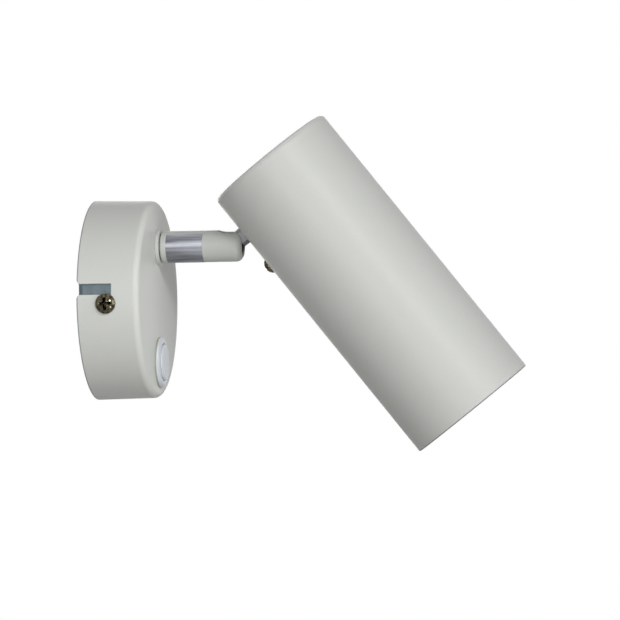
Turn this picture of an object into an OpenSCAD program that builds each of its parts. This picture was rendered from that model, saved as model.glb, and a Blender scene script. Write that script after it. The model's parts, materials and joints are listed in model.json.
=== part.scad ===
// Wall spotlight: round canopy with a push switch, a short swivelling arm and a tilting tubular head.
// The origin is the centre of the canopy's back, on the wall. The wall is the plane y = 0,
// +Z is up and the light stands out from the wall along -Y.

/* [Canopy] */
// Outer diameter of the canopy at the wall
canopy_d = 80; // [72:1:110]
// How far the canopy stands out from the wall
canopy_depth = 24.8; // [20:0.1:40]
// Sheet thickness of the canopy
canopy_wall = 1.2; // [0.8:0.1:2]
// Draft of the canopy's side, in degrees
canopy_draft = 1.2; // [0:0.1:4]
// Radius of the canopy's front edge
canopy_edge_r = 2.5; // [1.6:0.1:4]

/* [Bayonet lock] */
// Width of the bayonet slot
lock_slot_w = 4.3; // [4.2:0.1:5.5]
// Depth of the slot's cross leg, from the wall to its middle
lock_depth = 11.65; // [9:0.05:14]
// Offset of the slot's entry leg from the canopy's centre line
lock_entry = 4.2; // [3.5:0.1:8]
// Offset of the lock screw from the canopy's centre line
lock_offset = 1.5; // [0:0.1:4]
// Radius of the slot's mouth
lock_mouth_r = 1.7; // [0.5:0.1:3]
// Thread diameter of the lock screws
lock_screw_d = 4; // [3:0.5:4]
// Head diameter of the lock screws
lock_head_d = 8; // [6.5:0.1:9]
// Head height of the lock screws
lock_head_h = 2.5; // [1.8:0.1:3.5]

/* [Wall bracket] */
// Sheet thickness of the bracket
bracket_t = 1.5; // [1:0.1:2]
// Width of the bracket's strip
bracket_w = 20; // [16:1:26]
// Width of each ear
ear_w = 15; // [12:0.5:18]
// How far an ear reaches from the wall
ear_reach = 17.5; // [15:0.5:18]
// Outside radius of each bend
bend_r = 2.1; // [2:0.1:3]
// Length of a wall screw slot
wall_slot_len = 11; // [7:0.5:12]
// Width of a wall screw slot
wall_slot_w = 4.6; // [4:0.1:6]
// Hole for the cable in the bracket
cable_hole_d = 12; // [10:0.5:14]

/* [Arm] */
// Distance of the arm's axis from the canopy's top edge
arm_edge = 19; // [18:0.5:26]
// Outer diameter of the arm
arm_d = 12.7; // [12.5:0.1:16]
// Length of the arm beyond its collar
arm_len = 33; // [26:0.1:60]
// Radius of the arm's outer end
arm_end_r = 3; // [2:0.1:3.2]
// Bore of the arm
arm_bore_d = 11.2; // [10.8:0.1:11.4]
// Diameter of the collar at the canopy
collar_d = 14.4; // [14:0.1:20]
// Thickness of the collar
collar_t = 1.5; // [1:0.1:3]
// Groove between collar and arm
arm_groove = 0.35; // [0.2:0.05:1]
// Diameter of the hollow threaded nipple
nipple_d = 10; // [9:0.5:10]
// Bore of the nipple
nipple_bore = 7.4; // [6:0.1:7.6]

/* [Ball joint] */
// Diameter of the ball
ball_d = 10.9; // [10.5:0.1:10.9]
// Distance from the ball's centre to the arm's outer end
pivot_inset = 4.8; // [4.6:0.1:5]
// Width of the slot that the stem moves in
joint_slot_w = 6.5; // [6.3:0.1:7]
// Thickness of the stem between its flats
stem_t = 6; // [5:0.1:6.1]
// Width of the stem at the head
stem_top_w = 7.8; // [7:0.1:8]
// Width of the stem at the ball
stem_root_w = 7.2; // [6.5:0.1:7.4]
// Thread diameter of the stem's spigot
spigot_d = 6; // [5:0.1:6]
// Bore through ball and stem for the leads
stem_bore = 3.6; // [3:0.1:3.8]
// Clearance between the head and the arm
head_gap = 1; // [0.6:0.1:3]

/* [Head] */
// Outer diameter of the head
head_d = 54.5; // [54:0.5:75]
// Length of the head
head_len = 129.2; // [125:0.1:180]
// Wall of the head
head_wall = 1.2; // [0.8:0.1:1.4]
// Radius of the head's back edge
head_back_r = 2; // [1.5:0.1:5]
// Rounding of the head's front rim
head_rim_r = 0.6; // [0.2:0.1:0.7]
// Distance from the head's back to the stem
stem_back = 17.9; // [14:0.1:30]
// Distance from the stem to the strap screw
strap_screw_ahead = 16; // [13:0.5:24]
// Head diameter of the strap screw
strap_head_d = 6.4; // [5:0.1:7]
// Head height of the strap screw
strap_head_h = 2.4; // [1.2:0.1:2.6]

/* [Lamp and holder] */
// Diameter of the lamp
lamp_d = 50; // [45:0.5:50]
// Length of the lamp without its pins
lamp_len = 46.8; // [40:0.1:52]
// How far the lamp's face lies behind the head's rim
lamp_recess = 15.3; // [5:0.1:30]
// Length of a lamp pin
pin_len = 7; // [6:0.1:7.5]
// Distance between the lamp pins
pin_pitch = 10; // [9.5:0.1:10.5]
// Diameter of the lamp holder
holder_d = 28; // [26:0.5:32]
// Height of the lamp holder
holder_h = 18.4; // [16:0.1:22]
// Width of the holder strap
strap_w = 12; // [10:0.5:16]
// Thickness of the holder strap
strap_t = 1.2; // [1:0.1:1.5]

/* [Switch] */
// Distance of the switch's centre from the canopy's bottom edge
switch_edge = 14.8; // [14.5:0.1:20]
// Diameter of the bezel
bezel_d = 20.2; // [19.6:0.1:22]
// How far the bezel stands out
bezel_h = 1.9; // [1.6:0.1:4]
// Diameter of the barrel
barrel_d = 18.2; // [18:0.1:18.8]
// Diameter of the button
button_d = 14.3; // [13.5:0.1:15.6]
// How far the button stands out beyond the bezel
button_rise = 0.7; // [0.2:0.1:1.5]
// Travel of the button
button_travel = 2.4; // [1.5:0.1:3]
// Depth of the hollow in the button's face
button_dish = 0.4; // [0.2:0.1:1]

/* [Terminals] */
// Distance from pole to pole
pole_pitch = 8; // [7:0.5:9]
// Depth of the terminal block, across its poles
block_w = 15; // [13:0.5:16]
// Height of the terminal block
block_h = 11; // [9:0.5:13]
// Diameter of a lead with its insulation
lead_d = 2; // [1.6:0.1:2.2]

/* [Pose as shown] */
// Angle of the stem above the arm
stem_lift = 37.8; // [0:0.1:90]
// Turn of the arm from upright
arm_turn = 6; // [-150:1:150]

/* [Hidden] */
$fn = 72;
eps = 0.02;
slip = 0.05;
run_fit = 0.15;
poles = 3;

paint = [0.80, 0.79, 0.76];
zinc = [0.72, 0.73, 0.74];
dark_nickel = [0.36, 0.35, 0.35];
brass = [0.80, 0.67, 0.36];
white_plastic = [0.93, 0.94, 0.95];
warm_white = [0.92, 0.90, 0.86];
brown = [0.45, 0.27, 0.16];
black = [0.25, 0.25, 0.25];
blue = [0.20, 0.36, 0.62];
green_yellow = [0.45, 0.62, 0.24];
clear = [0.95, 0.97, 1, 0.5];

// Canopy
canopy_r = canopy_d / 2;
arm_up = canopy_r - arm_edge;
switch_up = -(canopy_r - switch_edge);
face_in = canopy_depth - canopy_wall;
function canopy_out_r(out) = canopy_r - out * tan(canopy_draft);
function canopy_in_r(out) = canopy_out_r(out) - canopy_wall / cos(canopy_draft);

// Bracket
lock_seat = canopy_out_r(lock_depth - lock_head_d / 2);
ear_clear = 0.3;
ear_corner_r = 4;
relief_r = 1.5;
ear_out = sqrt(pow(canopy_in_r(ear_reach), 2) - pow(ear_w / 2, 2)) - ear_clear;
ear_in = ear_out - bracket_t;
slot_edge = 2.4;
wall_slot_x = floor(ear_in - bend_r - slot_edge + bracket_t - wall_slot_len / 2);
lock_screw_len = lock_seat - ear_in + 4;

// Switch
barrel_wall = 0.75;
lip_d = button_d + 0.5;
lip_h = 1.1;
lip_bevel = 0.4;
barrel_bore = barrel_d - 2 * barrel_wall;
flange_d = barrel_bore - 0.3;
flange_t = 1.4;
bezel_top = canopy_depth + bezel_h;
button_top = bezel_top + button_rise;
lip_bottom = bezel_top - lip_h;
flange_top = lip_bottom - 0.2;
well_floor = flange_top - flange_t - button_travel - 0.4;
blade_reach = 4.5;
blade_x = 4;
switch_back = bracket_t + blade_reach + 2.5;
blade_mid = switch_back - blade_reach + 1;
switch_hole_d = barrel_d + 0.2;
ring_nut_d = 22.4;
ring_nut_h = 3;
post_d = 4;

// Terminal block, between the switch and the cable hole
function pole_x(pole) = (pole - (poles - 1) / 2) * pole_pitch;
block_len = poles * pole_pitch;
block_gap = 2.1;
block_up = switch_up + barrel_d / 2 + block_gap + block_w / 2;
clamp_d = 5.2;
clamp_out = bracket_t + 4.6;
clamp_screw_d = 3;
clamp_screw_in = block_w / 2 - 3.2;
block_top_edge = block_up + block_w / 2;
block_low_edge = block_up - block_w / 2;
cable_up = block_top_edge + 3 + cable_hole_d / 2;
plate_r = cable_up + cable_hole_d / 2 + 6;
earth_x = 14.5;
tag_t = 0.8;
tag_barrel_out = bracket_t + tag_t + 0.6;
grommet_bore = 8;
grommet_lip = 1.2;
grommet_nose = 2.4;

// Arm stack, counted outwards from the wall
arm_start = canopy_depth + collar_t + arm_groove;
arm_end = arm_start + arm_len;
pivot_out = arm_end - pivot_inset;
washer_d = 16;
stop_t = 1;
wave_t = 0.8;
nut_h = 4;
nut_af = 14;
stop_out = face_in - slip - stop_t;
wave_out = stop_out - wave_t;
nut_out = wave_out - nut_h;
nipple_start = nut_out - 2;
insert_len = 8;
nipple_end = arm_start + insert_len - 1;
finger_r = 13.5;
finger_w = 4;
stud_r = 1.5;
stud_at = 12;
stud_h = 1.6;
bundle_r = 1.35;
bundle_in = nipple_start + 2;

// Ball joint
socket_r = ball_d / 2 + run_fit;
cup_len = 7;
cup_bore = 4.6;
cup_front = pivot_out - stem_root_w / 2 - 0.25;
cup_back = cup_front - cup_len;
spring_start = arm_start + insert_len;
spring_wire = 1;
spring_turns = 4.5;
arm_bundle_r = 1.05;
arm_lead_d = 1.5;
joint_slot_low = 1.1;
slot_start = pivot_out - stem_root_w / 2 - 1.7;
head_r = head_d / 2;
stem_rise = arm_d / 2 + head_gap;
axis_rise = stem_rise + head_r;

// Head, counted forwards from its back
head_in_r = head_r - head_wall;
saddle_t = 2;
stem_nut_h = 4;
stem_nut_af = 10;
spigot_top = axis_rise - head_in_r + saddle_t + stem_nut_h + 1.4;
strap_screw_z = stem_back + strap_screw_ahead;
strap_low = -sqrt(pow(head_in_r, 2) - pow(strap_w / 2, 2)) + eps;
lamp_face = head_len - lamp_recess;
lamp_base = lamp_face - lamp_len;
holder_front = lamp_base - 0.3;
strap_front = holder_front - holder_h;
strap_back = strap_front - strap_t;
strap_leg = strap_front - strap_screw_z + 5;
strap_rise = -strap_low + 13;
holder_screw_y = 9;
holder_screw_d = 3;
lamp_neck_r = 12;
lamp_cup_depth = 7;
pin_head_d = 4.8;
pin_neck_d = 3.2;
pin_head_h = 2.6;
pin_turn = 22;
lamp_lead_x = 3.4;
lamp_lead_d = 1.5;

// Frames of the three moving groups
module off_wall() {
    rotate([90, 0, 0]) children();
}

module at_arm() {
    off_wall() translate([0, arm_up, 0]) rotate([0, 0, arm_turn]) children();
}

module at_pivot() {
    at_arm() translate([0, 0, pivot_out]) rotate([90 - stem_lift, 0, 0]) children();
}

module along_head() {
    at_pivot() translate([0, axis_rise, -stem_back]) children();
}

module at_switch() {
    off_wall() translate([0, switch_up, 0]) children();
}

module both_sides() {
    for (side = [0, 180]) rotate([0, 0, side]) children();
}

// Half outline of a drafted round body with one rounded edge, from -below to h
module drafted_half(r, h, edge, draft = 0, below = 0) {
    edge_z = h - edge;
    edge_x = r - (edge + edge_z * sin(draft)) / cos(draft);
    side = [edge_x + edge * cos(draft), edge_z + edge * sin(draft)];
    union() {
        polygon([[0, -below], [r + below * tan(draft), -below], side, [edge_x, edge_z], [edge_x, h], [0, h]]);
        translate([edge_x, edge_z]) circle(edge);
    }
}

// Two legs of sheet with a bend, outer corner at the origin, legs along +x and +y
module bent_profile(leg_x, leg_y, t, r) {
    translate([r, 0]) square([leg_x - r, t]);
    translate([0, r]) square([t, leg_y - r]);
    intersection() {
        square(r);
        translate([r, r]) difference() {
            circle(r);
            circle(r - t);
        }
    }
}

module ring(d, bore, h) {
    difference() {
        cylinder(d = d, h = h);
        translate([0, 0, -1]) cylinder(d = bore, h = h + 2);
    }
}

module hex_nut(af, bore, h) {
    chamfer = 0.5;
    difference() {
        intersection() {
            cylinder(d = af / cos(30), h = h, $fn = 6);
            union() {
                cylinder(d1 = af, d2 = af + 2 * chamfer * 3, h = h / 2);
                translate([0, 0, h / 2]) cylinder(d1 = af + 2 * chamfer * 3, d2 = af, h = h / 2);
            }
        }
        translate([0, 0, -1]) cylinder(d = bore, h = h + 2);
    }
}

// Screw with a domed head: head on +z, shank on -z
module round_screw(head_d, head_h, shank_d, shank_len) {
    rim_h = head_h * 0.28;
    dome_h = head_h - rim_h;
    dome_r = (pow(head_d / 2, 2) + pow(dome_h, 2)) / (2 * dome_h);
    cross_len = head_d * 0.55;
    cross_w = head_d * 0.13;
    difference() {
        union() {
            intersection() {
                cylinder(d = head_d, h = head_h);
                translate([0, 0, head_h - dome_r]) sphere(dome_r);
            }
            translate([0, 0, -shank_len]) cylinder(d = shank_d, h = shank_len + rim_h);
            translate([0, 0, -shank_len - 0.5]) cylinder(d1 = shank_d - 1, d2 = shank_d, h = 0.5);
        }
        for (turn = [0, 90]) rotate([0, 0, turn])
            translate([-cross_len / 2, -cross_w / 2, head_h * 0.4]) cube([cross_len, cross_w, head_h]);
    }
}

// A round tube swept along points, with a steady frame
function unit(v) = v / norm(v);
function heading(p, i) = unit(p[min(i + 1, len(p) - 1)] - p[max(i - 1, 0)]);
function across(v, t) = unit(v - (v * t) * t);
function sides_of(p, start) = [
    for (i = 0, n = across(start, heading(p, 0)); i < len(p);
         i = i + 1, n = i < len(p) ? across(n, heading(p, i)) : n) n];

module swept_tube(p, d, sides = 8, start = [0.3, 0.5, 0.8]) {
    normals = sides_of(p, start);
    last = len(p) - 1;
    rings = [for (i = [0:last]) for (k = [0:sides - 1])
        p[i] + d / 2 * (cos(360 * k / sides) * normals[i]
                        + sin(360 * k / sides) * cross(heading(p, i), normals[i]))];
    walls = [for (i = [0:last - 1]) for (k = [0:sides - 1]) let (n = (k + 1) % sides)
        each [[i * sides + k, (i + 1) * sides + n, i * sides + n],
              [i * sides + k, (i + 1) * sides + k, (i + 1) * sides + n]]];
    near_end = [for (k = [1:sides - 2]) [0, k, k + 1]];
    far_end = [for (k = [1:sides - 2]) [last * sides, last * sides + k + 1, last * sides + k]];
    polyhedron(points = rings, faces = concat(walls, near_end, far_end));
}

// A smooth curve through hand-set points
function curve_point(a, b, c, d, t) =
    0.5 * ((2 * b) + (c - a) * t + (2 * a - 5 * b + 4 * c - d) * t * t
           + (3 * b - a - 3 * c + d) * t * t * t);
function smooth(p, steps) = [
    for (i = [0:len(p) - 2]) for (s = [0:steps - 1])
        curve_point(p[max(i - 1, 0)], p[i], p[i + 1], p[min(i + 2, len(p) - 1)], s / steps),
    p[len(p) - 1]];

function coil(r, h, turns, steps) = [
    for (i = [0:turns * steps]) let (a = 360 * i / steps)
        [r * cos(a), r * sin(a), h * i / (turns * steps)]];

// Wall bracket: strip with a round middle and two bent ears
module bracket_ear() {
    translate([ear_out, ear_w / 2, 0]) rotate([90, 0, 0]) linear_extrude(ear_w) mirror([1, 0, 0])
        bent_profile(ear_out - wall_slot_x + 2, ear_reach, bracket_t, bend_r);
}

module wall_slot() {
    half = (wall_slot_len - wall_slot_w) / 2;
    for (end = [-half, half]) translate([wall_slot_x + end, 0, -1])
        cylinder(d = wall_slot_w, h = bracket_t + 2);
    translate([wall_slot_x - half, -wall_slot_w / 2, -1]) cube([2 * half, wall_slot_w, bracket_t + 2]);
}

module wall_bracket() {
    color(zinc) off_wall() difference() {
        union() {
            cylinder(r = plate_r, h = bracket_t);
            translate([-(ear_out - bend_r), -bracket_w / 2, 0])
                cube([2 * (ear_out - bend_r), bracket_w, bracket_t]);
            both_sides() bracket_ear();
        }
        both_sides() wall_slot();
        both_sides() translate([ear_in - 1, lock_offset, lock_depth]) rotate([0, 90, 0])
            cylinder(d = lock_screw_d + 0.1, h = bracket_t + 2);
        both_sides() for (edge = [-1, 1])
            translate([ear_in - 1, edge * ear_w / 2, ear_reach]) ear_corner(ear_corner_r, edge);
        both_sides() for (edge = [-1, 1])
            translate([ear_out - bend_r, edge * (ear_w / 2 + relief_r), -1])
                cylinder(r = relief_r, h = bracket_t + 2);
        translate([0, cable_up, -1]) cylinder(d = cable_hole_d, h = bracket_t + 2);
        translate([earth_x, cable_up, -1]) cylinder(d = lock_screw_d + 0.1, h = bracket_t + 2);
        translate([-pole_pitch / 2, block_up, -1]) cylinder(d = clamp_screw_d + 0.1, h = bracket_t + 2);
    }
}

module ear_corner(r, edge) {
    rotate([0, 90, 0]) translate([0, 0, -1]) difference() {
        translate([-1, edge > 0 ? -r : -1, 0]) cube([r + 1, r + 1, bracket_t + 4]);
        translate([r, -edge * r, -1]) cylinder(r = r, h = bracket_t + 6);
    }
}

// Soft grommet in the cable hole, with a lip on the room side
module cable_grommet() {
    wall = 0.8;
    color(warm_white) off_wall() translate([0, cable_up, 0]) difference() {
        union() {
            cylinder(d = cable_hole_d - 0.1, h = bracket_t + 0.5);
            translate([0, 0, bracket_t]) rotate_extrude()
                drafted_half(cable_hole_d / 2 + 1.6, grommet_lip, 0.5);
            translate([0, 0, bracket_t + grommet_lip])
                cylinder(d1 = cable_hole_d - 0.6, d2 = grommet_bore + 2 * wall, h = grommet_nose);
        }
        translate([0, 0, -1]) cylinder(d = grommet_bore, h = bracket_t + grommet_lip + grommet_nose + 2);
    }
}

// Slot outline in the side: x is the distance from the wall, y runs across
module lock_slot_outline() {
    translate([-1, -lock_entry - lock_slot_w / 2]) square([lock_depth + lock_slot_w / 2 + 1, lock_slot_w]);
    translate([lock_depth - lock_slot_w / 2, -lock_entry]) square([lock_slot_w, lock_entry + lock_offset]);
    translate([lock_depth, lock_offset]) circle(d = lock_slot_w);
    difference() {
        translate([-1, -lock_entry - lock_slot_w / 2 - lock_mouth_r])
            square([1 + lock_mouth_r, lock_slot_w + 2 * lock_mouth_r]);
        for (edge = [-1, 1])
            translate([lock_mouth_r, -lock_entry + edge * (lock_slot_w / 2 + lock_mouth_r)])
                circle(lock_mouth_r);
    }
}

module lock_slot() {
    translate([canopy_r / 2, 0, 0]) rotate([0, 90, 0])
        linear_extrude(canopy_r) mirror([1, 0, 0]) lock_slot_outline();
}

module canopy() {
    inner_edge = canopy_edge_r - canopy_wall;
    color(paint) off_wall() difference() {
        rotate_extrude() difference() {
            drafted_half(canopy_r, canopy_depth, canopy_edge_r, canopy_draft);
            drafted_half(canopy_in_r(0), face_in, inner_edge, canopy_draft, 1);
        }
        both_sides() lock_slot();
        translate([0, arm_up, face_in - 1]) cylinder(d = nipple_d + 2 * run_fit, h = canopy_wall + 2);
        translate([0, switch_up, face_in - 1]) cylinder(d = switch_hole_d, h = canopy_wall + 2);
    }
    color(paint) off_wall() translate([0, arm_up - stud_at, face_in - stud_h])
        cylinder(r = stud_r, h = stud_h + canopy_wall / 2);
}

module lock_screws() {
    color(dark_nickel) off_wall() both_sides()
        translate([lock_seat + eps, lock_offset, lock_depth]) rotate([0, 90, 0])
            round_screw(lock_head_d, lock_head_h, lock_screw_d, lock_screw_len);
}

// Terminal block: one housing with a wire way and two screw wells for each pole
module block_poles() {
    for (pole = [0:poles - 1]) translate([pole_x(pole), 0, 0]) children();
}

module terminal_block() {
    neck = 1.6;
    color(white_plastic) off_wall() translate([0, block_up, 0]) difference() {
        translate([-block_len / 2, -block_w / 2, bracket_t]) cube([block_len, block_w, block_h]);
        block_poles() translate([0, 0, clamp_out]) rotate([90, 0, 0])
            cylinder(d = clamp_d + 0.2, h = block_w + 2, center = true);
        block_poles() for (end = [-1, 1]) translate([0, end * clamp_screw_in, clamp_out])
            cylinder(d = clamp_screw_d + 1, h = block_h);
        for (gap = [-0.5, 0.5]) translate([gap * pole_pitch, 0, bracket_t + 3]) for (end = [-1, 1])
            translate([-neck / 2, end * block_w / 2 - 2, 0]) cube([neck, 4, block_h]);
        for (gap = [-0.5, 0.5]) translate([gap * pole_pitch, 0, 0]) {
            translate([0, 0, bracket_t - 1]) cylinder(d = clamp_screw_d - 0.6, h = block_h + 2);
            translate([0, 0, bracket_t + 3]) cylinder(d = clamp_screw_d - 0.4, h = block_h);
        }
    }
}

module terminal_clamps() {
    color(brass) off_wall() translate([0, block_up, 0]) block_poles() translate([0, 0, clamp_out])
        difference() {
            rotate([90, 0, 0]) cylinder(d = clamp_d, h = block_w - 3, center = true);
            rotate([90, 0, 0]) cylinder(d = lead_d + 1.2, h = block_w, center = true);
            for (end = [-1, 1]) translate([0, end * clamp_screw_in, 0])
                cylinder(d = clamp_screw_d, h = clamp_d);
        }
}

module terminal_screws() {
    screw_len = 5;
    color(zinc) off_wall() translate([0, block_up, 0]) block_poles() for (end = [-1, 1])
        translate([0, end * clamp_screw_in, clamp_out + lead_d / 2 + 0.5]) difference() {
            cylinder(d = clamp_screw_d - 0.1, h = screw_len);
            translate([-clamp_screw_d, -0.3, screw_len - 0.8]) cube([2 * clamp_screw_d, 0.6, 2]);
        }
}

// Screw that holds the block to the bracket, between two poles
module block_screw() {
    d = clamp_screw_d - 0.7;
    color(zinc) off_wall() translate([-pole_pitch / 2, block_up, bracket_t + block_h]) {
        translate([0, 0, -block_h - bracket_t + 0.2]) cylinder(d = d, h = block_h + bracket_t);
        difference() {
            translate([0, 0, slip]) cylinder(d1 = 3.4, d2 = 2.6, h = 1.2);
            translate([-2, -0.25, 0.7]) cube([4, 0.5, 2]);
        }
    }
}

module earth_screw() {
    color(brass) off_wall() translate([earth_x, cable_up, bracket_t + tag_t + slip])
        round_screw(7, 2.2, lock_screw_d, tag_t + slip + bracket_t - 0.1);
}

module earth_tag() {
    color(zinc) off_wall() translate([earth_x, cable_up, bracket_t]) difference() {
        union() {
            cylinder(d = 7.6, h = tag_t);
            translate([-1.6, 0, 0]) cube([3.2, 8, tag_t]);
            translate([0, 7.5, tag_barrel_out - bracket_t]) rotate([-90, 0, 0])
                cylinder(d = lead_d + 1.2, h = 4);
        }
        translate([0, 0, -1]) cylinder(d = lock_screw_d + 0.2, h = 4);
        translate([0, 9.4, tag_barrel_out - bracket_t]) rotate([-90, 0, 0]) cylinder(d = lead_d + 0.3, h = 4);
        translate([-4, 0, -2]) cube([8, 20, 2]);
    }
}

// Switch: bezel, barrel and rear housing moulded as one
module switch_body() {
    color(white_plastic) at_switch() difference() {
        union() {
            translate([0, 0, canopy_depth]) rotate_extrude() intersection() {
                drafted_half(bezel_d / 2, bezel_h, 1.5);
                square([bezel_d, bezel_h]);
            }
            translate([0, 0, switch_back + 2]) cylinder(d = barrel_d, h = canopy_depth - switch_back - 1);
            translate([0, 0, switch_back]) cylinder(d1 = barrel_d - 3, d2 = barrel_d, h = 2);
        }
        translate([0, 0, lip_bottom - 1]) cylinder(d = lip_d, h = bezel_h + 3);
        translate([0, 0, bezel_top - lip_bevel])
            cylinder(d1 = lip_d, d2 = lip_d + 4 * lip_bevel, h = 2 * lip_bevel);
        translate([0, 0, well_floor]) cylinder(d = barrel_bore, h = lip_bottom - well_floor);
        translate([0, 0, well_floor - button_travel - 1]) cylinder(d = post_d + 0.4, h = 10);
    }
}

module switch_nut() {
    color(white_plastic) at_switch() translate([0, 0, face_in - ring_nut_h]) difference() {
        cylinder(d = ring_nut_d, h = ring_nut_h);
        translate([0, 0, -1]) cylinder(d = barrel_d + 0.1, h = ring_nut_h + 2);
        for (notch = [0:5]) rotate([0, 0, notch * 60 + 30])
            translate([ring_nut_d / 2 - 1, -1.5, -1]) cube([3, 3, ring_nut_h]);
    }
}

module switch_blades() {
    blade_w = 4.8;
    blade_t = 0.8;
    color(brass) at_switch() for (side = [-1, 1])
        translate([side * blade_x - blade_t / 2, -blade_w / 2, switch_back - blade_reach])
            difference() {
                cube([blade_t, blade_w, blade_reach]);
                translate([-1, blade_w / 2, 1.6]) rotate([0, 90, 0]) cylinder(d = 1.4, h = 4);
            }
}

module switch_spring() {
    wire = 0.6;
    inner_floor = well_floor + wire / 2 + slip;
    cap_bottom = flange_top - 0.6;
    color(zinc) at_switch() translate([0, 0, inner_floor])
        swept_tube(coil(post_d / 2 + 1.1, cap_bottom - inner_floor - wire / 2 - slip, 3.5, 14), wire, 6);
}

// Button: dished cap, retaining flange, hollow underside and a centre post
module switch_button() {
    dish_r = (pow(button_d / 2 - 1.2, 2) + pow(button_dish, 2)) / (2 * button_dish);
    cap_edge = 0.7;
    hollow_top = flange_top - 0.6;
    color(white_plastic) at_switch() difference() {
        union() {
            translate([0, 0, flange_top - flange_t]) rotate_extrude()
                drafted_half(button_d / 2, button_top - flange_top + flange_t, cap_edge);
            translate([0, 0, flange_top - flange_t]) cylinder(d = flange_d, h = flange_t);
            translate([0, 0, well_floor - 0.8]) cylinder(d = post_d, h = flange_top - well_floor);
        }
        translate([0, 0, button_top - button_dish + dish_r]) sphere(dish_r, $fn = 180);
        translate([0, 0, flange_top - flange_t - 1])
            ring(button_d - 2.4, post_d, hollow_top - flange_top + flange_t + 1);
    }
}

// Leads inside the canopy, each clamped at its two ends
module base_lead(points, shade) {
    color(shade) off_wall() swept_tube(smooth(points, 5), lead_d);
}

module live_lead() {
    blade = [blade_x, switch_up, blade_mid];
    base_lead([[pole_x(2), block_low_edge + 2.2, clamp_out],
               [pole_x(2), block_low_edge - 1, clamp_out],
               [pole_x(2) + 4, block_low_edge - 5, clamp_out],
               blade + [10, -2, 0],
               blade + [4, 0, 0],
               blade + [1.5, 0, 0]], brown);
}

module switched_lead() {
    blade = [-blade_x, switch_up, blade_mid];
    base_lead([blade - [1.5, 0, 0],
               blade - [4, 0, 0],
               blade + [-9, 4, 1],
               [-block_len / 2 - 4.5, block_up, 8],
               [-10, arm_up - 9, 10],
               [-bundle_r - 0.5, arm_up - 1.5, nipple_start - 5],
               [-bundle_r, arm_up, nipple_start - 1.5],
               [-bundle_r, arm_up, bundle_in]], black);
}

module neutral_lead() {
    base_lead([[pole_x(1), block_top_edge - 2.2, clamp_out],
               [pole_x(1), block_top_edge + 0.6, clamp_out + 0.4],
               [bundle_r, block_top_edge + 4, 9],
               [bundle_r + 0.4, arm_up - 5, 9.5],
               [bundle_r + 0.1, arm_up - 0.4, nipple_start - 3],
               [bundle_r, arm_up, nipple_start - 1],
               [bundle_r, arm_up, bundle_in]], blue);
}

module earth_lead() {
    tag = [earth_x, cable_up, tag_barrel_out];
    base_lead([tag + [0, 9.6, 0],
               tag + [0, 12.4, 0],
               tag + [-1.5, 18, 1.5],
               [earth_x - 9, arm_up + 7, 8],
               [0.4, arm_up + 2.4, nipple_start - 3],
               [0, arm_up + bundle_r * 1.4, nipple_start - 1],
               [0, arm_up + bundle_r * 1.4, bundle_in]], green_yellow);
}

// Arm group
module arm_collar() {
    color(paint) at_arm() translate([0, 0, canopy_depth + slip]) difference() {
        rotate_extrude() drafted_half(collar_d / 2, collar_t - slip, 0.4);
        translate([0, 0, -1]) cylinder(d = nipple_d + 0.1, h = collar_t + 2);
    }
}

module stop_washer() {
    color(zinc) at_arm() translate([0, 0, stop_out]) difference() {
        union() {
            cylinder(d = washer_d, h = stop_t);
            translate([-finger_w / 2, 0, 0]) cube([finger_w, finger_r - finger_w / 2, stop_t]);
            translate([0, finger_r - finger_w / 2, 0]) cylinder(d = finger_w, h = stop_t);
        }
        translate([0, 0, -1]) cylinder(d = nipple_d + 0.1, h = stop_t + 2);
    }
}

module wave_washer() {
    color(zinc) at_arm() translate([0, 0, wave_out]) ring(washer_d - 1, nipple_d + 0.4, wave_t - slip);
}

module nipple_nut() {
    color(zinc) at_arm() translate([0, 0, nut_out]) hex_nut(nut_af, nipple_d + 0.05, nut_h - slip);
}

module nipple() {
    color(zinc) at_arm() translate([0, 0, nipple_start])
        ring(nipple_d, nipple_bore, nipple_end - nipple_start);
}

module arm_insert() {
    color(brass) at_arm() translate([0, 0, arm_start - arm_groove]) difference() {
        cylinder(d = arm_bore_d - 0.05, h = insert_len + arm_groove);
        translate([0, 0, -1])
            cylinder(d = nipple_d + 0.05, h = nipple_end - arm_start + arm_groove + 1 + slip);
        translate([0, 0, -1]) cylinder(d = nipple_bore, h = insert_len + 3);
    }
}

// Arm: tube with a ball socket and a slot from its top, over the end, to below the axis
module arm_tube() {
    slot_mid = slot_start + joint_slot_w / 2;
    color(paint) at_arm() difference() {
        translate([0, 0, arm_start]) rotate_extrude() drafted_half(arm_d / 2, arm_len, arm_end_r);
        translate([0, 0, arm_start - 1]) cylinder(d = arm_bore_d, h = pivot_out - arm_start + 1);
        translate([0, 0, pivot_out]) sphere(socket_r);
        translate([0, 0, slot_mid]) rotate([-90, 0, 0]) cylinder(d = joint_slot_w, h = arm_d);
        translate([-joint_slot_w / 2, -joint_slot_low, slot_mid]) cube([joint_slot_w, arm_d, arm_len]);
        translate([0, -joint_slot_low, slot_mid]) cylinder(d = joint_slot_w, h = arm_len);
        translate([0, 0, arm_start - 0.01]) difference() {
            cylinder(d = arm_d + 1, h = 0.4);
            translate([0, 0, -0.01]) cylinder(d1 = arm_d - 0.8, d2 = arm_d, h = 0.42);
        }
    }
}

module joint_spring() {
    coil_r = arm_bore_d / 2 - spring_wire / 2 - 0.3;
    from = spring_start + spring_wire / 2 + slip;
    to = cup_back - spring_wire / 2 - slip;
    color(zinc) at_arm() translate([0, 0, from])
        swept_tube(coil(coil_r, to - from, spring_turns, 16), spring_wire, 6);
}

module friction_cup() {
    color(brass) at_arm() difference() {
        translate([0, 0, cup_back]) cylinder(d = arm_bore_d - 0.1, h = cup_len);
        translate([0, 0, pivot_out]) sphere(ball_d / 2 + slip);
        translate([0, 0, cup_back - 1]) cylinder(d = cup_bore, h = cup_len + 2);
    }
}

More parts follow.
